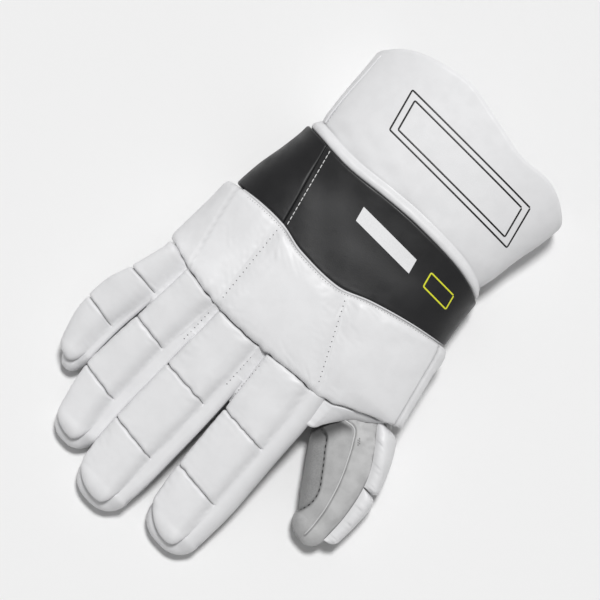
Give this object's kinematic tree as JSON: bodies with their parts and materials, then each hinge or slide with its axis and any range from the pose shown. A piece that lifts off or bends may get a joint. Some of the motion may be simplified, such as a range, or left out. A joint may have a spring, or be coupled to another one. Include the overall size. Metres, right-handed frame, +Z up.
{
  "type": "bandy glove",
  "caption": "Padded right-hand bandy glove lying palm down: flared cuff, black wrist band, puffed knuckle and finger pads, grey suede palm and thumb.",
  "frame": {"origin": "middle of the glove's plan, on the surface that it rests on", "axes": "+Y from the cuff to the fingertips, +Z up, thumb towards -X"},
  "size_m": [0.21, 0.3348, 0.0688],
  "materials": {
    "white_leather": "smooth white synthetic leather over foam, satin",
    "soft_white_leather": "soft white synthetic leather, lightly wrinkled",
    "black_leather": "charcoal black synthetic leather, fine grain, satin",
    "grey_suede": "napped grey suede"
  },
  "bodies": {
    "root": {"cuff": "white_leather", "cuff_roll": "white_leather", "knuckle_pad_outer": "white_leather", "knuckle_pad_centre": "white_leather", "knuckle_pad_thumb": "white_leather", "knuckle_welt": "white_leather", "thumb_pad_base": "white_leather", "thumb_pad_tip": "white_leather", "little_pad_base": "white_leather", "little_pad_middle": "white_leather", "little_pad_tip": "white_leather", "ring_pad_base": "white_leather", "ring_pad_middle": "white_leather", "ring_pad_tip": "white_leather", "middle_pad_base": "white_leather", "middle_pad_middle": "white_leather", "middle_pad_tip": "white_leather", "index_pad_base": "white_leather", "index_pad_middle": "white_leather", "index_pad_tip": "white_leather", "hand_back": "soft_white_leather", "thumb_web": "soft_white_leather", "finger_little": "soft_white_leather", "finger_ring": "soft_white_leather", "finger_middle": "soft_white_leather", "finger_index": "soft_white_leather", "wrist_pad_side": "black_leather", "wrist_pad_main": "black_leather", "palm": "grey_suede", "thumb_stall": "grey_suede"}
  },
  "joints": []
}
